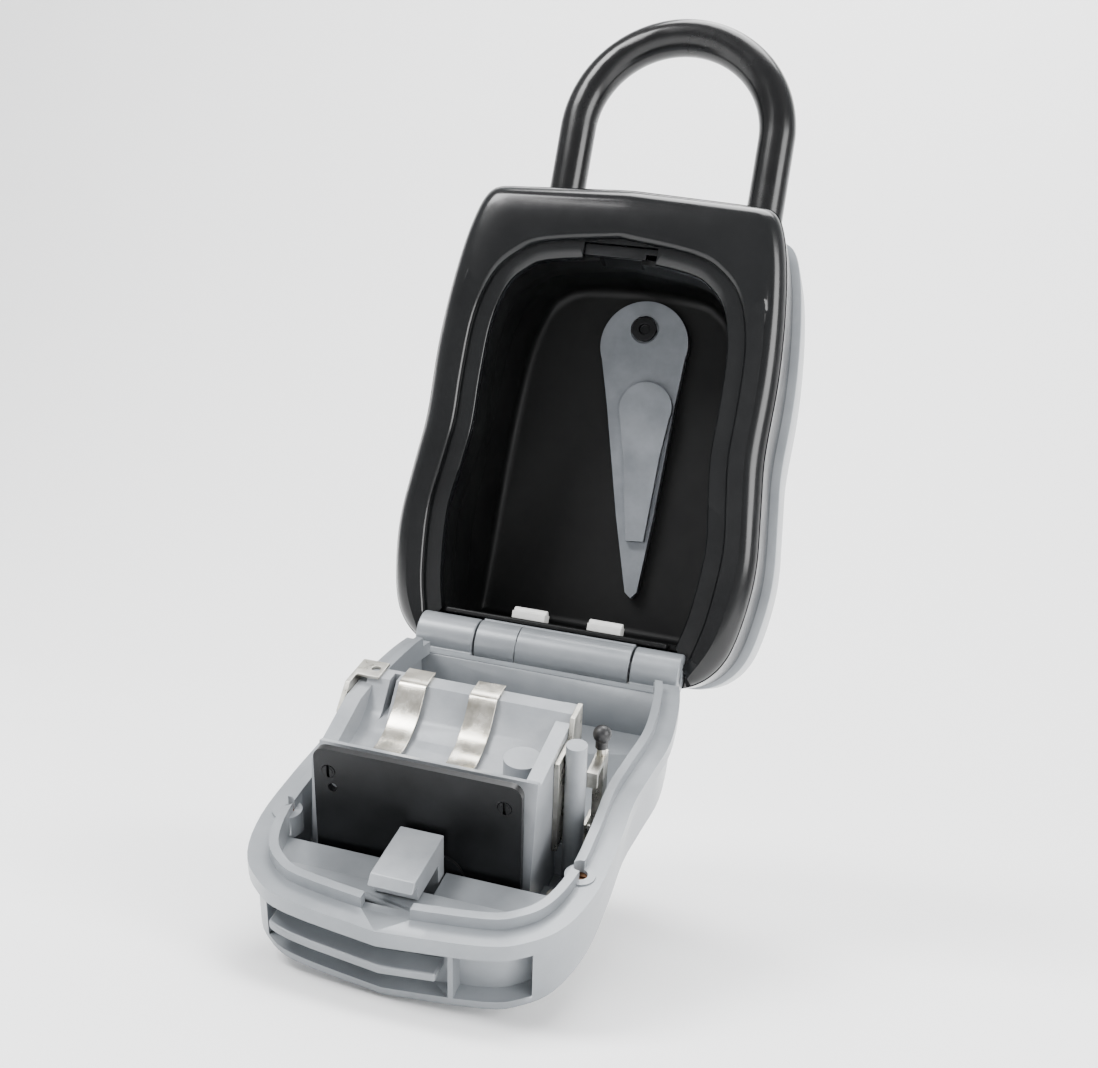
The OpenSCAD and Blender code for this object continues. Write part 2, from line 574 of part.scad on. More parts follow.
module code_sleeve_1() color("#b58a45") code_sleeve(0);
module code_sleeve_2() color("#b58a45") code_sleeve(1);
module code_sleeve_3() color("#b58a45") code_sleeve(2);
module code_sleeve_4() color("#b58a45") code_sleeve(3);

springs_x = [-11.2, 1.8];
spring_w = 5;
spring_t = 0.4;
// Path of a leaf spring's middle: over the ridge and down the saddle, then hooked up
leaf = [[house_z[0] + 2.4, ridge_y + 0.5], [house_z[0] + 6.6, ridge_y + 0.5], [house_z[0] + 8.2, ridge_y - 0.9],
    [house_z[0] + 10.6, ridge_y - 3.4], [house_z[0] + 13.8, ridge_y - 5.2], [house_z[0] + 17.4, ridge_y - 5.9],
    [house_z[0] + 20.2, ridge_y - 5.4], [house_z[0] + 21.8, ridge_y - 3.9]];
function strip(p, t) = concat(inset_line(p, t / 2), back_to_front(inset_line(p, -t / 2)));
function inset_line(p, d) = [for (i = [0:len(p) - 1])
    let (t = p[min(i + 1, len(p) - 1)] - p[max(i - 1, 0)]) p[i] + d * [-t.y, t.x] / norm(t)];
module detent_spring(i) on_door() translate([springs_x[i], 0, 0]) {
    profile(-spring_w / 2, spring_w / 2, zy(strip(spline(leaf, 3), spring_t)));
    block([-spring_w / 2, ridge_y + eps, house_z[0] + 3], [spring_w / 2, ridge_y + 0.5, house_z[0] + 5]);
}
module detent_spring_left() color("#d5d3cc") detent_spring(0);
module detent_spring_right() color("#d5d3cc") detent_spring(1);

plate_x = [-19, 16.2];
plate_y = [-6, ridge_y + 0.8];
plate_t = 1.3;
plate_holes = [[-16.4, ridge_y - 3.4], [13.4, ridge_y - 3.4]];
module rounded(x0, y0, x1, y1, r) hull() for (x = [x0 + r, x1 - r], y = [y0 + r, y1 - r])
    translate([x, y]) circle(r = r, $fn = 32);
module mechanism_plate() color("#17181a") on_door() translate([0, 0, house_z[1] + seat]) difference() {
    union() {
        linear_extrude(plate_t) rounded(plate_x[0], plate_y[0], plate_x[1], plate_y[1], 2);
        // stiffening boss at its foot
        translate([2.5, plate_y[0] + 3.2, 0]) cylinder(d = 9, h = plate_t + 0.5);
    }
    for (p = plate_holes) translate([p[0], p[1], -1]) cylinder(d = 2.4, h = 4);
    translate([plate_x[0] + 3.2, ridge_y - 6.4, -1]) cylinder(d = 1.6, h = 4);
}
module plate_screws() color("#202124") on_door() for (p = plate_holes) translate([p[0], p[1], house_z[1]]) difference() {
    union() {
        translate([0, 0, -3]) cylinder(d = 1.6, h = 4.6);
        translate([0, 0, 0.2]) cylinder(d = 2.2, h = plate_t);
    }
    translate([0, 0, plate_t]) cube([0.5, 3, 1], center = true);
}

// Steel bracket on the housing's left end
module end_bracket() color("#c2bfb6") on_door() difference() {
    union() {
        profile(house_x[0] - 2.6, house_x[0] - 1.7, zy([[house_z[0] + 2, 2], [house_z[0] + 2, ridge_y + 0.6],
            [house_z[0] + 10, ridge_y + 0.6], [house_z[0] + 14, ridge_y - 3], [house_z[0] + 14, 2]]));
        block([house_x[0] - 2.6, ridge_y, house_z[0] + 2], [house_x[0] + 2.4, ridge_y + 0.6, house_z[0] + 7]);
    }
    translate([0, ridge_y - 4, house_z[0] + 7]) along_x(house_x[0] - 4, house_x[0] - 1, 2.6);
    translate([house_x[0] + 0.8, 0, house_z[0] + 4.4]) along_y(ridge_y - 1, ridge_y + 2, 1.6);
}
// Steel strip on the housing's right cheek
module side_bracket() color("#c2bfb6") on_door() difference() {
    profile(house_x[1] + 0.05, house_x[1] + 0.95, zy([[house_z[0] + 3, -4], [house_z[0] + 3, ridge_y + 0.4],
        [house_z[0] + 8, ridge_y + 0.4], [house_z[0] + 9, ridge_y - 3], [house_z[0] + 16.8, ridge_y - 3], [house_z[0] + 16.8, -4]]));
    translate([0, ridge_y - 6, house_z[0] + 6]) along_x(house_x[1] - 1, house_x[1] + 2, 2);
}

reset_x = 22.5;
reset_z = 44;
reset_y = -7.4; // height of the lever's pivot
reset_pin_d = 2;
module reset_bracket() color("#c7c4bb") on_door() difference() {
    union() {
        block([reset_x - 2.4, pan_y + 0.05, reset_z - 3.4], [reset_x + 2.1, pan_y + 0.9, reset_z + 3.4]);
        for (x = [reset_x - 2.2, reset_x + 1.4]) block([x, pan_y + 0.8, reset_z - 2.4], [x + 0.7, reset_y + 2.6, reset_z + 2.4]);
    }
    translate([0, reset_y, reset_z]) along_x(reset_x - 4, reset_x + 4, reset_pin_d);
}
module reset_pin() color("#b9bbbf") on_door() translate([0, reset_y, reset_z]) along_x(reset_x - 2.5, reset_x + 2.3, reset_pin_d);
module reset_lever() color("#c7c4bb") on_door() translate([reset_x - 0.05, 0, reset_z]) difference() {
    union() {
        translate([0, reset_y, 0]) along_x(-1.1, 1.1, 3.8);
        block([-0.9, reset_y + 1, -1.6], [0.9, 9, 1.6]);
        block([-0.9, 8, -1.6], [0.9, 9, 6]);
        block([-0.9, 6, 5], [0.9, 9, 6]);
        along_y(8.9, 12, 1.6);
    }
    translate([0, reset_y, 0]) along_x(-4, 4, reset_pin_d + 2 * running);
}
module reset_knob() color("#1b1c1e") on_door() translate([reset_x - 0.05, 0, reset_z]) difference() {
    union() {
        translate([0, 13, 0]) sphere(d = 3.2);
        along_y(10.4, 13, 2.2);
    }
    along_y(10, 12, 1.6);
}

// The yoke lies on the pan's floor, passes the housing on its left and carries the tongue
yoke_x = [house_x[0] - 4.3, house_x[0] - 2];
yoke_y = [pan_y + gap, pan_y + gap + 1];
bar_z = house_z[1] + seat + plate_t + 0.5 + 0.4;
stem_z = [slide_z - slide_slot[1] / 2 + gap + 0.3, slide_z - slide_slot[1] / 2 + gap + 5.9];
tongue_y = [recess_d + ledge_t + 0.5, recess_d + ledge_t + 1.9];
tongue_tip = strike_z - 2.6;
module latch_yoke() color("#b9bbbf") on_door() difference() {
    union() {
        block([yoke_x[0], yoke_y[0], stem_z[0] - 1], [8, yoke_y[1], stem_z[1] + 3]);
        block([yoke_x[0], yoke_y[0], stem_z[0] - 1], [yoke_x[1], yoke_y[1], bar_z + 0.4]);
        block([yoke_x[0] + 1.3, yoke_y[0], bar_z], [tongue_w / 2, yoke_y[1], bar_z + 2.6]);
    }
    block([-1.6 - seat, -door_d, stem_z[0] + 1.4], [1.6 + seat, 0, stem_z[1] - 1.4]);
}
module latch_tongue() color("#b7bbc0") on_door() difference() {
    union() {
        block([-tongue_w / 2, yoke_y[1] + eps, bar_z], [tongue_w / 2, tongue_y[1], bar_z + 2.4]);
        block([-tongue_w / 2, tongue_y[0], bar_z], [tongue_w / 2, tongue_y[1], tongue_tip]);
        block([-tongue_w / 2, flange_top + gap, bar_z], [tongue_w / 2, tongue_y[1], strike_z - latch_travel - 0.9]);
    }
    // bevel of the nose
    translate([0, tongue_y[1], tongue_tip]) rotate([45, 0, 0]) cube([tongue_w + 1, 2, 2], center = true);
}
module open_slide() color("#1b1c1e") on_door() difference() {
    union() {
        block([-slide_slot[0] / 2 + gap, -door_d - gap - eps, stem_z[0]], [slide_slot[0] / 2 - gap, yoke_y[0] - eps, stem_z[1]]);
        block([-1.6, yoke_y[0] - 1, stem_z[0] + 1.5], [1.6, yoke_y[1] + 0.6, stem_z[1] - 1.5]);
        block([-7, -door_d - gap - 1.6, stem_z[0] - 4], [7, -door_d - gap, stem_z[1] + 5]);
        for (z = [stem_z[0] - 2:2.2:stem_z[1] + 3]) translate([0, -door_d - gap - 1.5, z]) along_x(-5.6, 5.6, 1.3);
    }
    translate([0, -door_d - gap - 2.1, slide_z - 1]) sphere(d = 1.5);
}

shutter_w = 38;
shutter_z = 40;
shutter_top = 67;
shutter_y = -door_d - 1.9;
shutter_barrel = 3;
shutter_pin_d = 1.4;
module dial_shutter() color("#1b1c1e") on_door() difference() {
    union() {
        translate([0, shutter_y, shutter_z]) along_x(-shutter_w / 2 + 2 + gap, shutter_w / 2 - 2 - gap, shutter_barrel);
        block([-shutter_w / 2 + 2 + gap, shutter_y - shutter_barrel / 2, shutter_z], [shutter_w / 2 - 2 - gap, -door_d - gap - 0.1, shutter_z + 4]);
        translate([0, -door_d - gap, 0]) rotate([90, 0, 0]) linear_extrude(1.4)
            rounded(-shutter_w / 2, shutter_z + 2.2, shutter_w / 2, shutter_top, 3);
        translate([0, -door_d - gap - 1.3, 0]) rotate([90, 0, 0]) linear_extrude(2.3)
            rounded(-cheek - 2, wheel_z - 10.6, cheek + 2, wheel_z + 10.6, 3);
        translate([0, -door_d - gap - 3.4, shutter_top - 2]) along_x(-5, 5, 1.4);
        block([-5, -door_d - gap - 3.4, shutter_top - 2.7], [5, -door_d - gap - 1, shutter_top - 1.3]);
    }
    // room for the wheels
    block([-cheek - 0.4, -door_d - gap - wheel_out - 0.6, wheel_z - 8.6], [cheek + 0.4, -door_d, wheel_z + 8.6]);
    translate([0, shutter_y, shutter_z]) along_x(-shutter_w, shutter_w, shutter_pin_d + 2 * running);
}
module shutter_pin() color("#c4c6c9") on_door() translate([0, shutter_y, shutter_z])
    along_x(-shutter_w / 2 + 0.2, shutter_w / 2 - 0.2, shutter_pin_d);
module rim_screws() color("#7d5f43") on_door() for (s = [-1, 1]) translate([s * rim_hole[0], 0, rim_hole[1]]) difference() {
    along_y(-1.2, flange_top - 0.3, 2.4);
    translate([0, flange_top - 0.3, 0]) cube([1.8, 0.8, 0.5], center = true);
}

back_shell();
front_jacket();
cavity_liner();
shackle_block();
strike_plate();
hinge_leaf();
hinge_pin();
floor_pads();
shackle_bushings();
lever_pivot();
release_lever();
lock_bolt_left();
lock_bolt_right();
rear_screws();
rear_pads();
shackle_bar();
shackle_sleeve();
door_shell();
door_knuckles();
shutter_ears();
end_deck();
thumb_lip();
dial_housing();
dial_axle();
code_wheel_1();
code_wheel_2();
code_wheel_3();
code_wheel_4();
code_sleeve_1();
code_sleeve_2();
code_sleeve_3();
code_sleeve_4();
detent_spring_left();
detent_spring_right();
mechanism_plate();
plate_screws();
end_bracket();
side_bracket();
reset_bracket();
reset_lever();
reset_knob();
reset_pin();
housing_screws();
latch_yoke();
latch_tongue();
open_slide();
dial_shutter();
shutter_pin();
rim_screws();
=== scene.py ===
import bpy
import bmesh
import json
import math
from mathutils import Matrix, Vector


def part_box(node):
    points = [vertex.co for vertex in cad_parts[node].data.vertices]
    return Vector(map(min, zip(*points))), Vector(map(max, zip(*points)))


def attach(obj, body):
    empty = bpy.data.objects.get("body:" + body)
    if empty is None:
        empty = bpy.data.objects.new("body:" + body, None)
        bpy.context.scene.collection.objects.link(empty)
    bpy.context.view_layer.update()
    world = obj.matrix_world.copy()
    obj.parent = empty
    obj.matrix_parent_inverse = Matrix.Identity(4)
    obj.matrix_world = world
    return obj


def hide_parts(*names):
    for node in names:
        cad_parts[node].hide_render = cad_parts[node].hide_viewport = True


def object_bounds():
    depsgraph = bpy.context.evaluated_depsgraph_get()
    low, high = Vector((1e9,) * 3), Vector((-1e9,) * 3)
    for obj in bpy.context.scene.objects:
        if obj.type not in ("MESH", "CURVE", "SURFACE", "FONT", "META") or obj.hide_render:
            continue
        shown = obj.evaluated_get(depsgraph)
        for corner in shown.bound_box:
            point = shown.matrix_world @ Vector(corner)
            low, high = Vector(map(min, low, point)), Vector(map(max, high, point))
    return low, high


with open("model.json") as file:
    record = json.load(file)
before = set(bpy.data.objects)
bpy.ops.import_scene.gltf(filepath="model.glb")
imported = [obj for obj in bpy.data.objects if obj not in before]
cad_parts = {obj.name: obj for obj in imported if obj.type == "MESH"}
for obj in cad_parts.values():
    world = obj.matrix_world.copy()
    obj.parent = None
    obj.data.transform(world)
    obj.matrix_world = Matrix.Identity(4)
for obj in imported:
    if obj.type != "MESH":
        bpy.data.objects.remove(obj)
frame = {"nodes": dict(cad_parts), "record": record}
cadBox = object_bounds()
nodes = frame["nodes"]
record = frame["record"]
bodyOf = {n: b for b, members in record["behaviour"]["bodies"].items() for n in members}
slotOf = {s["node"]: s["material_slot"] for s in record["subparts"]}
mm = 0.001
print("frame loaded:", len(nodes), "nodes")


# colour and node helpers
def linearFromHex(hexText):
    values = [int(hexText[i:i + 2], 16) / 255 for i in (1, 3, 5)]
    return [v / 12.92 if v <= 0.04045 else ((v + 0.055) / 1.055) ** 2.4 for v in values] + [1.0]


def addNode(material, kind, inputs=None, **settings):
    node = material.node_tree.nodes.new(kind)
    for name, value in settings.items():
        setattr(node, name, value)
    for name, value in (inputs or {}).items():
        if isinstance(value, bpy.types.NodeSocket):
            material.node_tree.links.new(value, node.inputs[name])
        else:
            node.inputs[name].default_value = value
    return node


def perMm(size):
    return 1 / (size * mm)  # texture scale for a pattern of this many millimetres


# What each finish starts from, and what that gives the eye:
#   colours   two tones that drift into each other over patchMm
#   grainMm   size of the surface's fine relief, bumpMm its height
#   rough     lowest and highest roughness
#   stretch   draws the grain out along an axis, as brushing, drawing or turning does
finishes = {
    # die-cast zinc under grey silver paint: satin, slight orange peel
    "castPaint": {"colours": ("#8c9094", "#7e8286"), "patchMm": 14, "grainMm": 0.9, "bumpMm": 0.03,
                  "rough": (0.3, 0.42), "metallic": 0.25, "coat": 0.15},
    # the same paint inside the door, duller where the mould left it thin
    "castPaintInside": {"colours": ("#979a9e", "#85898d"), "patchMm": 9, "grainMm": 0.7, "bumpMm": 0.04,
                        "rough": (0.34, 0.48), "metallic": 0.2, "coat": 0.05},
    # polished moulded vinyl over the front: near black, wet looking
    "glossVinyl": {"colours": ("#0d0e0f", "#08090a"), "patchMm": 20, "grainMm": 2.4, "bumpMm": 0.012,
                   "rough": (0.16, 0.26), "metallic": 0.0, "coat": 0.1, "specular": 0.35},
    # spark-eroded mould texture: dead matte black
    "mattMoulding": {"colours": ("#0c0d0d", "#070708"), "patchMm": 10, "grainMm": 0.35, "bumpMm": 0.03,
                     "rough": (0.4, 0.52), "metallic": 0.0, "coat": 0.0, "specular": 0.2},
    # tumbled zinc casting, unpainted
    "bareZinc": {"colours": ("#8f9399", "#777b82"), "patchMm": 5, "grainMm": 0.5, "bumpMm": 0.03,
                 "rough": (0.35, 0.5), "metallic": 0.9, "coat": 0.0},
    # lever casting: blue-grey, satin
    "leverZinc": {"colours": ("#7d8186", "#6c7075"), "patchMm": 8, "grainMm": 0.5, "bumpMm": 0.025,
                  "rough": (0.36, 0.5), "metallic": 0.25, "coat": 0.0},
    # oiled black oxide on sheet steel: dark with a low sheen
    "blackOxide": {"colours": ("#161719", "#0d0e0f"), "patchMm": 7, "grainMm": 0.4, "bumpMm": 0.012,
                   "rough": (0.3, 0.44), "metallic": 0.5, "coat": 0.0},
    # centreless ground steel: bright, rings round the bar
    "groundSteel": {"colours": ("#c4c6c9", "#a9abaf"), "patchMm": 4, "grainMm": 0.3, "bumpMm": 0.006,
                    "rough": (0.2, 0.32), "metallic": 1.0, "coat": 0.0, "stretch": (3, 1, 1)},
    # rolled spring strip: bright, warm, drawn lines along it
    "springStrip": {"colours": ("#dcd8ce", "#bdb8ab"), "patchMm": 3, "grainMm": 0.25, "bumpMm": 0.005,
                    "rough": (0.16, 0.3), "metallic": 1.0, "coat": 0.0, "stretch": (1, 0.12, 1)},
    # bright zinc plate on stamped steel: slightly warm and cloudy
    "platedSteel": {"colours": ("#cbc9c2", "#a9a69c"), "patchMm": 2.5, "grainMm": 0.3, "bumpMm": 0.008,
                    "rough": (0.24, 0.4), "metallic": 1.0, "coat": 0.0},
    # turned brass, fine rings left by the tool
    "turnedBrass": {"colours": ("#c9a04f", "#a8803a"), "patchMm": 3, "grainMm": 0.25, "bumpMm": 0.006,
                    "rough": (0.22, 0.34), "metallic": 1.0, "coat": 0.0, "stretch": (8, 1, 1)},
    # browned screw steel
    "brownedSteel": {"colours": ("#6d4c33", "#3f2b1e"), "patchMm": 1.2, "grainMm": 0.2, "bumpMm": 0.02,
                     "rough": (0.4, 0.6), "metallic": 0.8, "coat": 0.0},
    # black nylon, moulded: dull with a soft highlight
    "blackNylon": {"colours": ("#1b1b1d", "#121213"), "patchMm": 6, "grainMm": 0.3, "bumpMm": 0.012,
                   "rough": (0.36, 0.5), "metallic": 0.0, "coat": 0.0},
    # natural white acetal
    "whiteAcetal": {"colours": ("#dcdcda", "#c9c9c6"), "patchMm": 4, "grainMm": 0.4, "bumpMm": 0.01,
                    "rough": (0.3, 0.42), "metallic": 0.0, "coat": 0.1},
    # dipped soft vinyl on the shackle: smooth, slightly uneven, soft gloss
    "dippedVinyl": {"colours": ("#0b0b0c", "#070708"), "patchMm": 12, "grainMm": 3.2, "bumpMm": 0.006,
                    "rough": (0.2, 0.3), "metallic": 0.0, "coat": 0.1, "specular": 0.35},
    # moulded ABS of the wheels and the shutter
    "wheelAbs": {"colours": ("#1a1b1d", "#121315"), "patchMm": 6, "grainMm": 0.35, "bumpMm": 0.01,
                 "rough": (0.28, 0.4), "metallic": 0.0, "coat": 0.0},
    # printed figures: matte off-white ink
    "figureInk": {"colours": ("#e8e8e4", "#d2d2cc"), "patchMm": 0.8, "grainMm": 0.12, "bumpMm": 0.004,
                  "rough": (0.5, 0.62), "metallic": 0.0, "coat": 0.0},
    # soft rubber pads: dusty matte
    "padRubber": {"colours": ("#232325", "#18181a"), "patchMm": 3, "grainMm": 0.4, "bumpMm": 0.03,
                  "rough": (0.65, 0.8), "metallic": 0.0, "coat": 0.0},
}


def makeFinish(name):
    f = finishes[name]
    material = bpy.data.materials.new(name)
    material.use_nodes = True
    material.node_tree.nodes.clear()
    place = addNode(material, "ShaderNodeTexCoord").outputs["Object"]
    if "stretch" in f:
        drawn = addNode(material, "ShaderNodeMapping", {"Vector": place, "Scale": f["stretch"]})
        place = drawn.outputs["Vector"]
    patches = addNode(material, "ShaderNodeTexNoise",
                      {"Vector": place, "Scale": perMm(f["patchMm"]), "Detail": 4.0, "Roughness": 0.6})
    grain = addNode(material, "ShaderNodeTexNoise",
                    {"Vector": place, "Scale": perMm(f["grainMm"]), "Detail": 3.0, "Roughness": 0.55})
    tones = addNode(material, "ShaderNodeValToRGB", {"Fac": patches.outputs["Fac"]})
    tones.color_ramp.elements[0].position = 0.32
    tones.color_ramp.elements[1].position = 0.68
    tones.color_ramp.elements[0].color = linearFromHex(f["colours"][1])
    tones.color_ramp.elements[1].color = linearFromHex(f["colours"][0])
    worn = addNode(material, "ShaderNodeMapRange",
                   {"Value": patches.outputs["Fac"], "From Min": 0.3, "From Max": 0.7,
                    "To Min": f["rough"][0], "To Max": f["rough"][1]})
    relief = addNode(material, "ShaderNodeBump",
                     {"Height": grain.outputs["Fac"], "Strength": 0.6, "Distance": f["bumpMm"] * mm})
    shader = addNode(material, "ShaderNodeBsdfPrincipled",
                     {"Base Color": tones.outputs["Color"], "Roughness": worn.outputs["Result"],
                      "Normal": relief.outputs["Normal"], "Metallic": f["metallic"],
                      "Coat Weight": f["coat"], "Coat Roughness": 0.12,
                      "Specular IOR Level": f.get("specular", 0.5)})
    addNode(material, "ShaderNodeOutputMaterial", {"Surface": shader.outputs["BSDF"]})
    return material


finishOf = {name: makeFinish(name) for name in finishes}
slotFinish = {
    "painted_zinc": "castPaint", "jacket_vinyl": "glossVinyl", "liner_plastic": "mattMoulding",
    "cast_zinc": "bareZinc", "blackened_steel": "blackOxide", "pin_steel": "groundSteel",
    "pad_plastic": "whiteAcetal", "black_nylon": "blackNylon", "lever_zinc": "leverZinc",
    "bolt_steel": "groundSteel", "screw_steel": "platedSteel", "rubber_pad": "padRubber",
    "bar_steel": "groundSteel", "sleeve_vinyl": "dippedVinyl", "housing_zinc": "castPaintInside",
    "wheel_plastic": "wheelAbs", "sleeve_brass": "turnedBrass", "spring_steel": "springStrip",
    "bracket_steel": "platedSteel", "brown_screw": "brownedSteel", "shutter_plastic": "wheelAbs",
}
for nodeName, cadObject in nodes.items():
    cadObject.data.materials.clear()
    cadObject.data.materials.append(finishOf[slotFinish[slotOf[nodeName]]])
print("finishes made:", len(finishOf))


# piece helpers
# merge in metres, angles in degrees
edges = {"merge": 2e-6, "flatAngle": 1.5, "bevelAngle": 38, "segments": 3}


def newPiece(name, bm, finish, replacing, smoothAngle=35):
    bmesh.ops.remove_doubles(bm, verts=bm.verts, dist=edges["merge"])
    bmesh.ops.recalc_face_normals(bm, faces=bm.faces)
    sharp = math.radians(smoothAngle)
    for face in bm.faces:
        face.smooth = True
    for edge in bm.edges:
        edge.smooth = len(edge.link_faces) == 2 and edge.calc_face_angle(0) < sharp
    mesh = bpy.data.meshes.new(name)
    bm.to_mesh(mesh)
    bm.free()
    piece = bpy.data.objects.new(name, mesh)
    bpy.context.scene.collection.objects.link(piece)
    mesh.materials.append(finishOf[finish])
    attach(piece, bodyOf[replacing])
    return piece


def camelName(nodeName):
    words = nodeName.split("_")
    return words[0] + "".join(w.capitalize() for w in words[1:])


windowed = ("door_shell",)  # faces with holes in them keep the CAD's own triangles


def softCopy(nodeName, edgeMm, finish=None):
    # the CAD shape with its edges rounded, as a casting or a stamping has them
    bm = bmesh.new()
    bm.from_mesh(nodes[nodeName].data)
    bmesh.ops.remove_doubles(bm, verts=bm.verts, dist=edges["merge"])
    if nodeName not in windowed:
        flat = math.radians(edges["flatAngle"])
        bmesh.ops.dissolve_limit(bm, angle_limit=flat, verts=bm.verts, edges=bm.edges)
    piece = newPiece(camelName(nodeName), bm, finish or slotFinish[slotOf[nodeName]], nodeName)
    if edgeMm:
        bevel = piece.modifiers.new("edges", "BEVEL")
        bevel.width = edgeMm * mm
        bevel.segments = edges["segments"]
        bevel.limit_method = "ANGLE"
        bevel.angle_limit = math.radians(edges["bevelAngle"])
        bevel.harden_normals = True
        bevel.miter_outer = "MITER_ARC"
    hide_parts(nodeName)
    return piece


# outlines read from the CAD shells
def cutAt(nodeName, y):
    # the lines, in XZ, where a node's faces cross the plane at this y
    lines = []
    mesh = nodes[nodeName].data
    points = [v.co for v in mesh.vertices]
    for face in mesh.polygons:
        corners = [points[i] for i in face.vertices]
        crossing = []
        for a, b in zip(corners, corners[1:] + corners[:1]):
            if (a.y - y) * (b.y - y) < 0:
                t = (y - a.y) / (b.y - a.y)
                crossing.append((a.x + (b.x - a.x) * t, a.z + (b.z - a.z) * t))
        if len(crossing) == 2:
            lines.append(crossing)
    return lines


def reach(lines, centre, angle, farthest):
    dx, dz = math.cos(angle), math.sin(angle)
    found = []
    for (ax, az), (bx, bz) in lines:
        ux, uz = bx - ax, bz - az
        cross = dx * uz - dz * ux
        if abs(cross) < 1e-12:
            continue
        wx, wz = ax - centre[0], az - centre[1]
        distance = (wx * uz - wz * ux) / cross
        along = (wx * dz - wz * dx) / cross
        if distance > 0 and -1e-9 <= along <= 1 + 1e-9:
            found.append(distance)
    return (max(found) if farthest else min(found)) if found else None


def eased(values, times):
    # takes the flats out of an outline that was drawn with straight stretches
    count = len(values)
    for _ in range(times):
        values = [(values[i - 1] + 2 * values[i] + values[(i + 1) % count]) / 4 for i in range(count)]
    return values


bodyLow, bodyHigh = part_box("front_jacket")
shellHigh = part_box("back_shell")[1]
faceY = bodyLow.y
centre = (0.0, (bodyLow.z + bodyHigh.z) / 2)
turns = 360
# half steps keep the angles off the outlines' own corners
angles = [-math.pi / 2 + 2 * math.pi * (i + 0.5) / turns for i in range(turns)]


def at(angle, radius, y):
    return Vector((centre[0] + math.cos(angle) * radius, y, centre[1] + math.sin(angle) * radius))


def outline(nodeName, y, farthest, easing):
    lines = cutAt(nodeName, y)
    values = [reach(lines, centre, a, farthest) for a in angles]
    for i, value in enumerate(values):
        if value is None:
            values[i] = values[i - 1] or next(v for v in values if v)
    return eased(values, easing)


def sweep(bm, rings, closedAround, closedAcross):
    # skins rings[row][i]; rows go round the section, i goes round the body
    rows = [[bm.verts.new(p) for p in ring] for ring in rings]
    count = len(rows[0])
    for r in range(len(rows) if closedAcross else len(rows) - 1):
        a, b = rows[r], rows[(r + 1) % len(rows)]
        for i in range(count if closedAround else count - 1):
            j = (i + 1) % count
            bm.faces.new((a[i], a[j], b[j], b[i]))
    return rows


# front jacket
# millimetres; depths run back from the front face
jacket = {"round": 4.6, "crown": 0.6, "innerRound": 1.3, "recess": 2.4, "ledge": 2.0, "wall": 2.2,
          "notchHalf": 8.1, "notchWay": 4.0, "notchDepth": 3.6, "notchSpare": 2.0, "notchLift": 0.1,
          "notchEase": 0.4, "archRise": 0.35, "outerAt": 20.0, "mouthAt": 1.0, "ledgeAt": 3.4,
          "leastRail": 1.6, "leastLedge": 0.5, "footSkip": 1.5, "ledgeRound": 0.3, "railBack": 6.0,
          "wallStart": 4.0, "barrelBack": 5.2, "barrelTop": 7.9, "barrelHalf": 28.3, "edgeRound": 0.25,
          "backRoundAt": 24.6, "depth": 25.0}
outer = outline("front_jacket", faceY + jacket["outerAt"] * mm, True, 3)
mouthLines = cutAt("front_jacket", faceY + jacket["mouthAt"] * mm)
ledgeLines = cutAt("front_jacket", faceY + jacket["ledgeAt"] * mm)
mouth = [reach(mouthLines, centre, a, False) for a in angles]
ledgeEdge = [reach(ledgeLines, centre, a, False) for a in angles]
strikeLow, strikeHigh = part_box("strike_plate")


def bridged(values, halfWidth):
    # carries an outline straight across the notch at the top
    top = [i for i in range(turns) if math.sin(angles[i]) > 0 and values[i]
           and abs(math.cos(angles[i]) * values[i]) < halfWidth]
    before, after = values[top[0] - 1], values[top[-1] + 1]
    for i in top:
        t = (i - top[0] + 1) / (len(top) + 1)
        flat = before * math.sin(angles[top[0] - 1]) + (after - before) * t
        values[i] = flat / math.sin(angles[i]) + jacket["archRise"] * mm * math.sin(math.pi * t)
    return values


ledgeEdge = bridged(ledgeEdge, (jacket["notchHalf"] + jacket["notchEase"]) * mm)


def hasRail(i):
    # the rail runs round the opening but not across the hinge
    if mouth[i] is None or ledgeEdge[i] is None:
        return False
    height = centre[1] + math.sin(angles[i]) * mouth[i]
    wideEnough = outer[i] - mouth[i] > jacket["leastRail"] * mm
    aboveFoot = height > bodyLow.z + jacket["footSkip"] * mm
    return wideEnough and aboveFoot and mouth[i] - ledgeEdge[i] > jacket["leastLedge"] * mm


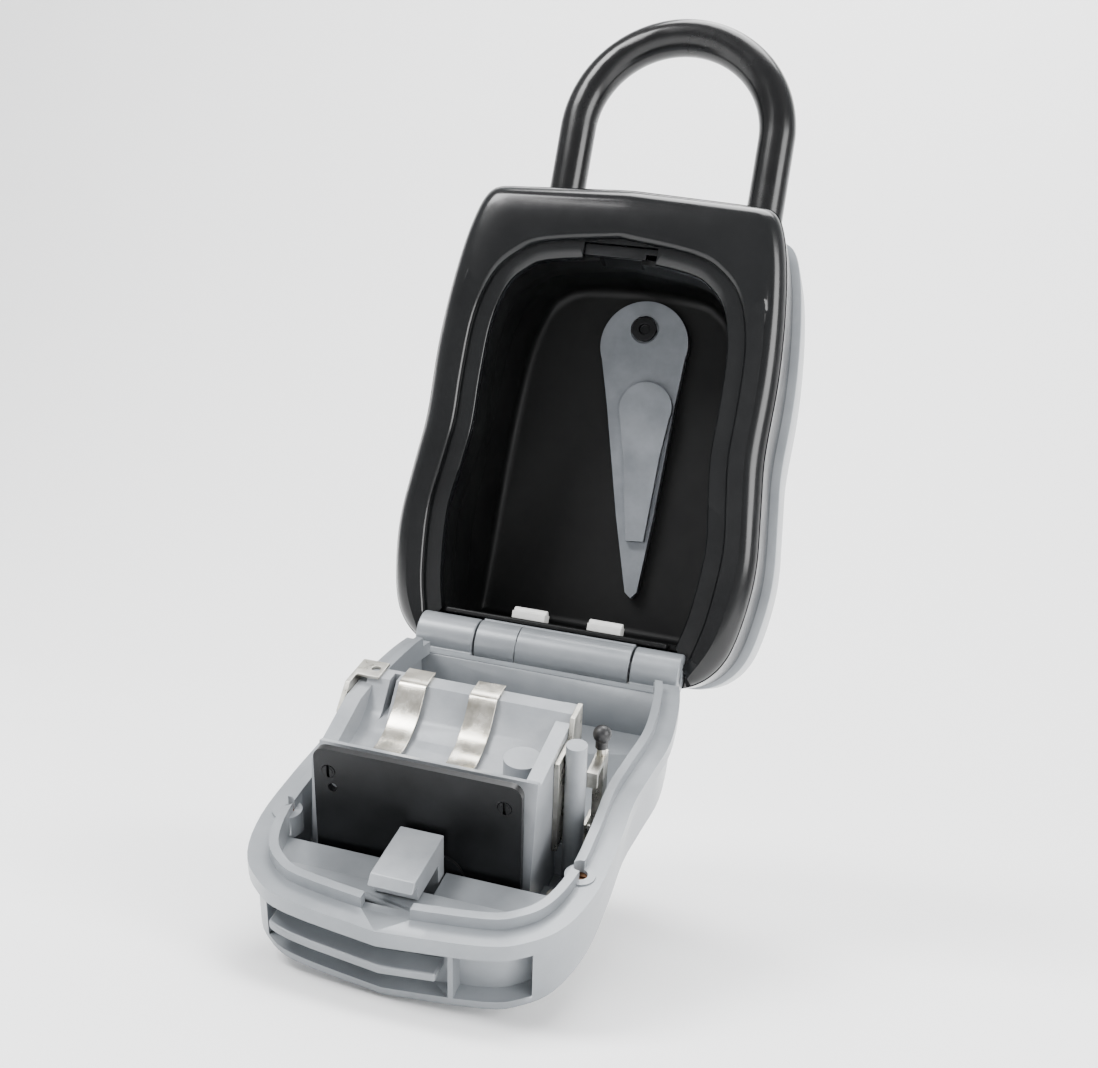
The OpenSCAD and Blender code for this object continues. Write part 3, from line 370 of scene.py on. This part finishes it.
covered = [i for i in range(turns) if hasRail(i)]
print("jacket rail covers", len(covered), "of", turns)
bm = bmesh.new()
section = []
steps = 8
for k in range(steps + 1):  # outer edge, rounded
    t = math.pi / 2 * k / steps
    section.append((lambda i, t=t: (outer[i] - jacket["round"] * mm * (1 - math.cos(t)),
                                    jacket["round"] * mm * (1 - math.sin(t)) + jacket["crown"] * mm)))
section.append(lambda i: ((outer[i] + mouth[i]) / 2, 0.0))
for k in range(steps + 1):  # edge of the opening, rounded
    t = math.pi / 2 * k / steps
    section.append((lambda i, t=t: (mouth[i] + jacket["innerRound"] * mm * (1 - math.sin(t)),
                                    jacket["innerRound"] * mm * (1 - math.cos(t)) + jacket["crown"] * mm)))
section += [
    lambda i: (mouth[i], jacket["recess"] * mm),
    lambda i: (ledgeEdge[i] + jacket["ledgeRound"] * mm, jacket["recess"] * mm),
    lambda i: (ledgeEdge[i], (jacket["recess"] + jacket["ledgeRound"]) * mm),
    lambda i: (ledgeEdge[i], (jacket["recess"] + jacket["ledge"]) * mm),
    lambda i: (outer[i] - jacket["wall"] * mm, (jacket["recess"] + jacket["ledge"]) * mm),
    lambda i: (outer[i] - jacket["wall"] * mm, jacket["railBack"] * mm),
    lambda i: (outer[i], jacket["railBack"] * mm),
]
rings = []
for rule in section:
    ring = []
    for i in covered:
        radius, depth = rule(i)
        ring.append(at(angles[i], radius, faceY + depth))
    rings.append(ring)
rows = sweep(bm, rings, False, True)
bm.faces.new([row[0] for row in rows])
bm.faces.new([row[-1] for row in reversed(rows)])
bmesh.ops.recalc_face_normals(bm, faces=bm.faces)
railMesh = bpy.data.meshes.new("railBlank")
bm.to_mesh(railMesh)
bm.free()
cutter = bmesh.new()
notchTall = strikeHigh.z - strikeLow.z + jacket["notchSpare"] * mm
notchSize = Vector((2 * jacket["notchHalf"] * mm, jacket["notchWay"] * mm, notchTall))
notchTop = strikeHigh.z + jacket["notchLift"] * mm
notchPlace = Matrix.Translation((0, faceY + jacket["notchDepth"] * mm, notchTop - notchSize.z / 2))
bmesh.ops.create_cube(cutter, size=1.0, matrix=notchPlace @ Matrix.Diagonal((*notchSize, 1)))
cutterMesh = bpy.data.meshes.new("notchBlank")
cutter.to_mesh(cutterMesh)
cutter.free()
blanks = [bpy.data.objects.new(n, m) for n, m in (("railBlank", railMesh), ("notchBlank", cutterMesh))]
for blank in blanks:
    bpy.context.scene.collection.objects.link(blank)
cut = blanks[0].modifiers.new("notch", "BOOLEAN")
cut.object = blanks[1]
cut.operation = "DIFFERENCE"
cutMesh = bpy.data.meshes.new_from_object(blanks[0].evaluated_get(bpy.context.evaluated_depsgraph_get()))
for blank in blanks:
    bpy.data.objects.remove(blank)
bm = bmesh.new()
bm.from_mesh(cutMesh)
wallRings = []
# inset from the outside and depth; no depth means where the wall starts, which is further back at the hinge
wallSection = ((0, None), (0, jacket["backRoundAt"]), (jacket["edgeRound"], jacket["depth"]),
               (jacket["wall"], jacket["depth"]), (jacket["wall"], None))
for inset, depth in wallSection:
    ring = []
    for i in range(turns):
        low = centre[1] + math.sin(angles[i]) * outer[i] < bodyLow.z + jacket["barrelTop"] * mm
        atHinge = low and abs(math.cos(angles[i]) * outer[i]) < jacket["barrelHalf"] * mm
        start = jacket["barrelBack"] if atHinge else jacket["wallStart"]
        y = (start if depth is None else depth) * mm
        ring.append(at(angles[i], outer[i] - inset * mm, faceY + y))
    wallRings.append(ring)
sweep(bm, wallRings, True, True)
jacketPiece = newPiece("frontJacket", bm, "glossVinyl", "front_jacket", 50)
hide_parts("front_jacket")
print("jacket made")

# back shell
backShell = {"wall": 2.6, "backRound": 5.2, "outerAt": 35.0, "front": 25.1,
             "frontEdge": ((0.5, 0.0), (0.12, 0.15), (0.0, 0.6))}  # inset and depth of the rounded front edge
shellOuter = outline("back_shell", faceY + backShell["outerAt"] * mm, True, 3)
shellFront = faceY + backShell["front"] * mm
shellBack = shellHigh.y
bm = bmesh.new()
rings = []
for inset, depth in ((backShell["wall"], 0.0), *backShell["frontEdge"]):
    rings.append([at(angles[i], shellOuter[i] - inset * mm, shellFront + depth * mm) for i in range(turns)])
for k in range(steps + 1):
    t = math.pi / 2 * k / steps
    r = backShell["backRound"] * mm
    rings.append([at(angles[i], shellOuter[i] - r * (1 - math.cos(t)), shellBack - r * (1 - math.sin(t)))
                  for i in range(turns)])
rows = sweep(bm, rings, True, False)
middle = bm.verts.new((centre[0], shellBack, centre[1]))
last = rows[-1]
for share in (0.34, 0.5):  # rings across the flat back, each this far on towards the middle
    ring = [bm.verts.new(v.co.lerp(middle.co, share)) for v in last]
    for i in range(turns):
        j = (i + 1) % turns
        bm.faces.new((last[i], last[j], ring[j], ring[i]))
    last = ring
for i in range(turns):
    bm.faces.new((last[i], last[(i + 1) % turns], middle))
inside = rows[0]
inward = Vector((0, shellBack - backShell["wall"] * mm - shellFront, 0))
floorRing = [bm.verts.new(v.co + inward) for v in inside]
for i in range(turns):
    j = (i + 1) % turns
    bm.faces.new((inside[j], inside[i], floorRing[i], floorRing[j]))
bm.faces.new(list(reversed(floorRing)))
shellPiece = newPiece("backShell", bm, "castPaint", "back_shell", 50)
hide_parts("back_shell")
print("back shell made")

# cavity liner
liner = {"wall": 1.2, "cornerRound": 2.4, "cornerSteps": 4, "front": 4.5, "backInside": 33.4,
         "backOutside": 34.6, "lipHalf": 24.0, "lipAt": 2.7, "lipDrop": 0.55, "lipDeep": 5.0,
         "lipThick": 1.1, "lipRound": 0.4, "depths": (4.6, 8.6, 12.6, 16.8, 21.0, 25.2, 29.4, 32.6)}
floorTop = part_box("floor_pads")[0].z
inner = [outline("cavity_liner", faceY + depth * mm, False, 0) for depth in liner["depths"]]
backWall = faceY + liner["backInside"] * mm
linerFront = faceY + liner["front"] * mm
bm = bmesh.new()
mouthOutside = [at(angles[i], inner[0][i] + liner["wall"] * mm, linerFront) for i in range(turns)]
rings = [mouthOutside, [at(angles[i], inner[0][i], linerFront) for i in range(turns)]]
for ring, depth in zip(inner[:-1], liner["depths"][:-1]):
    rings.append([at(angles[i], ring[i], faceY + depth * mm) for i in range(turns)])
for k in range(liner["cornerSteps"] + 1):
    t = math.pi / 2 * k / liner["cornerSteps"]
    r = liner["cornerRound"] * mm
    rings.append([at(angles[i], inner[-1][i] - r * (1 - math.cos(t)), backWall - r * (1 - math.sin(t)))
                  for i in range(turns)])
rows = sweep(bm, rings, True, False)
bm.faces.new(rows[-1])
linerBack = faceY + liner["backOutside"] * mm
outside = [mouthOutside,
           [at(angles[i], inner[-1][i] + liner["wall"] * mm, linerBack) for i in range(turns)]]
rows = sweep(bm, outside, True, False)
bm.faces.new(rows[-1])
lipPlace = Matrix.Translation((0, faceY + liner["lipAt"] * mm, floorTop - liner["lipDrop"] * mm))
lipSize = Matrix.Diagonal((2 * liner["lipHalf"] * mm, liner["lipDeep"] * mm, liner["lipThick"] * mm, 1))
lip = bmesh.ops.create_cube(bm, size=1.0, matrix=lipPlace @ lipSize)
lipEdges = list({e for v in lip["verts"] for e in v.link_edges})
bmesh.ops.bevel(bm, geom=lipEdges, offset=liner["lipRound"] * mm, segments=3, profile=0.5, affect="EDGES")
linerPiece = newPiece("cavityLiner", bm, "mattMoulding", "cavity_liner", 40)
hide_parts("cavity_liner")
print("liner made")

# pieces whose CAD shape only needs its edges rounded, with the radius in millimetres
edgeRadius = {
    "door_shell": 0.35, "door_knuckles": 0.3, "thumb_lip": 0.35, "end_deck": 0.25, "shutter_ears": 0.2,
    "hinge_leaf": 0.25,
    "hinge_pin": 0.2, "floor_pads": 0.3, "shackle_bushings": 0.3, "strike_plate": 0.15,
    "shackle_block": 0.4, "lever_pivot": 0.2, "release_lever": 0.4, "lock_bolt_left": 0.2,
    "lock_bolt_right": 0.2, "rear_screws": 0.15, "rear_pads": 0.35, "shackle_bar": 0.3,
    "shackle_sleeve": 0.25,
    "dial_housing": 0.35, "dial_axle": 0.15, "code_sleeve_1": 0.12, "code_sleeve_2": 0.12,
    "code_sleeve_3": 0.12, "code_sleeve_4": 0.12, "code_wheel_1": 0.22, "code_wheel_2": 0.22,
    "code_wheel_3": 0.22, "code_wheel_4": 0.22, "detent_spring_left": 0.08, "detent_spring_right": 0.08,
    "mechanism_plate": 0.2, "plate_screws": 0.08, "end_bracket": 0.12, "side_bracket": 0.12,
    "reset_bracket": 0.1, "reset_lever": 0.15, "reset_knob": 0.1, "reset_pin": 0.12, "housing_screws": 0.08,
    "latch_yoke": 0.15, "latch_tongue": 0.2, "open_slide": 0.25, "dial_shutter": 0.25, "shutter_pin": 0.1,
    "rim_screws": 0.08,
}
finishByHand = {"plate_screws": "blackOxide", "strike_plate": "blackOxide"}
for nodeName, radius in edgeRadius.items():
    softCopy(nodeName, radius, finish=finishByHand.get(nodeName))
print("rounded pieces made:", len(edgeRadius))

# figures printed on the code wheels
figures = {"size": 3.5, "proud": 0.05, "sunk": 0.05, "slices": 8, "perWheel": 10, "wheels": 4}
doorJoint = next(j for j in record["behaviour"]["joints"] if j["name"] == "door_hinge")
doorOpen = math.radians(-doorJoint["range_deg"][0])


def figureMesh(digit):
    # one flat figure, centred, cut into slices across its height so that it can bend
    curve = bpy.data.curves.new("figureLine", "FONT")
    curve.body = str(digit)
    curve.size = figures["size"] * mm
    curve.extrude = (figures["proud"] + figures["sunk"]) / 2 * mm
    line = bpy.data.objects.new("figureLine", curve)
    bpy.context.scene.collection.objects.link(line)
    depsgraph = bpy.context.evaluated_depsgraph_get()
    flat = bpy.data.meshes.new_from_object(line.evaluated_get(depsgraph))
    bpy.data.objects.remove(line)
    cut = bmesh.new()
    cut.from_mesh(flat)
    low = Vector([min(v.co[k] for v in cut.verts) for k in range(3)])
    high = Vector([max(v.co[k] for v in cut.verts) for k in range(3)])
    bmesh.ops.translate(cut, verts=cut.verts, vec=-(low + high) / 2)
    for k in range(1, figures["slices"]):
        level = (high.y - low.y) * (k / figures["slices"] - 0.5)
        everything = cut.verts[:] + cut.edges[:] + cut.faces[:]
        bmesh.ops.bisect_plane(cut, geom=everything, plane_co=(0, level, 0), plane_no=(0, 1, 0))
    return cut


for number in range(1, figures["wheels"] + 1):
    wheelNode = "code_wheel_" + str(number)
    wheelLow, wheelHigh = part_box(wheelNode)
    axis = (wheelLow + wheelHigh) / 2
    radius = (wheelHigh.z - wheelLow.z) / 2
    bm = bmesh.new()
    for digit in range(figures["perWheel"]):
        facing = doorOpen + digit * 2 * math.pi / figures["perWheel"]
        cut = figureMesh(digit)
        for v in cut.verts:
            turned = facing + v.co.y / radius
            away = radius + v.co.z + (figures["proud"] - figures["sunk"]) / 2 * mm
            y = axis.y - math.sin(turned) * away
            z = axis.z + math.cos(turned) * away
            v.co = Vector((axis.x + v.co.x, y, z))
        bent = bpy.data.meshes.new("figureBent")
        cut.to_mesh(bent)
        cut.free()
        bm.from_mesh(bent)
        bpy.data.meshes.remove(bent)
    newPiece("wheelFigures" + str(number), bm, "figureInk", wheelNode)
print("figures made:", figures["perWheel"], "on each wheel")

# camera
camera = {"lensMm": 42.42, "sensorMm": 36, "position": (63.83, -300.76, -141.3), "azimuth": 14.56,
          "elevation": 3.763, "roll": 9.77}
cam = bpy.data.cameras.new("camera")
cam.lens = camera["lensMm"]
cam.sensor_width = camera["sensorMm"]
camObject = bpy.data.objects.new("camera", cam)
scene = bpy.context.scene
scene.collection.objects.link(camObject)
turn = Matrix.Rotation(math.radians(camera["azimuth"]), 4, "Z")
tilt = Matrix.Rotation(math.radians(90 + camera["elevation"]), 4, "X")
rollTurn = Matrix.Rotation(math.radians(camera["roll"]), 4, "Z")
camObject.matrix_world = Matrix.Translation(Vector(camera["position"]) * mm) @ turn @ tilt @ rollTurn
cam.clip_start = 0.01
scene.camera = camObject

# floor and light
# floorBelow and fibreMm in millimetres, the rest in metres
studio = {"floorBelow": 0.4, "wallAt": 0.55, "sweepRadius": 0.35, "reach": 2.5, "sweepSteps": 16,
          "fibreMm": 25, "skyColour": "#f2f3f5", "skyStrength": 0.8}
lowest = cadBox[0].z
floorZ = lowest - studio["floorBelow"] * mm
bm = bmesh.new()
profile = [(-studio["reach"], floorZ), (studio["wallAt"] - studio["sweepRadius"], floorZ)]
for k in range(1, studio["sweepSteps"] + 1):
    t = math.pi / 2 * k / studio["sweepSteps"]
    profile.append((studio["wallAt"] - studio["sweepRadius"] * (1 - math.sin(t)),
                    floorZ + studio["sweepRadius"] * (1 - math.cos(t))))
profile.append((studio["wallAt"], studio["reach"]))
halves = (-studio["reach"], studio["reach"])
lines = [[bm.verts.new((x, y, z)) for y, z in profile] for x in halves]
for i in range(len(profile) - 1):
    face = bm.faces.new((lines[0][i], lines[0][i + 1], lines[1][i + 1], lines[1][i]))
    face.smooth = True
bmesh.ops.recalc_face_normals(bm, faces=bm.faces)
mesh = bpy.data.meshes.new("studioFloor")
bm.to_mesh(mesh)
bm.free()
floor = bpy.data.objects.new("studioFloor", mesh)
scene.collection.objects.link(floor)
paper = bpy.data.materials.new("seamlessPaper")  # matte paper roll, pale, with a barely seen fibre
paper.use_nodes = True
paper.node_tree.nodes.clear()
fibre = addNode(paper, "ShaderNodeTexNoise", {"Scale": perMm(studio["fibreMm"]), "Detail": 2.0})
paperTone = addNode(paper, "ShaderNodeValToRGB", {"Fac": fibre.outputs["Fac"]})
paperTone.color_ramp.elements[0].color = linearFromHex("#f8f8f8")
paperTone.color_ramp.elements[1].color = linearFromHex("#fbfbfb")
paperShader = addNode(paper, "ShaderNodeBsdfPrincipled",
                      {"Base Color": paperTone.outputs["Color"], "Roughness": 0.9})
addNode(paper, "ShaderNodeOutputMaterial", {"Surface": paperShader.outputs["BSDF"]})
mesh.materials.append(paper)

world = bpy.data.worlds.new("studio")
scene.world = world
world.use_nodes = True
sky = world.node_tree.nodes["Background"]
sky.inputs["Color"].default_value = linearFromHex(studio["skyColour"])
sky.inputs["Strength"].default_value = studio["skyStrength"]

lamps = {
    "keySoftbox": {"at": (-0.45, -0.55, 0.5), "size": 0.35, "power": 11.0},
    "fillSoftbox": {"at": (0.65, -0.35, 0.12), "size": 0.4, "power": 6.0},
    "topSoftbox": {"at": (0.05, 0.1, 0.8), "size": 0.6, "power": 15.0},
}
aim = Vector((0, 0, -0.1))
for name, lamp in lamps.items():
    light = bpy.data.lights.new(name, "AREA")
    light.shape = "SQUARE"
    light.size = lamp["size"]
    light.energy = lamp["power"]
    lightObject = bpy.data.objects.new(name, light)
    lightObject.location = lamp["at"]
    lightObject.rotation_euler = (aim - Vector(lamp["at"])).to_track_quat("-Z", "Y").to_euler()
    scene.collection.objects.link(lightObject)
print("camera, floor and lamps set")
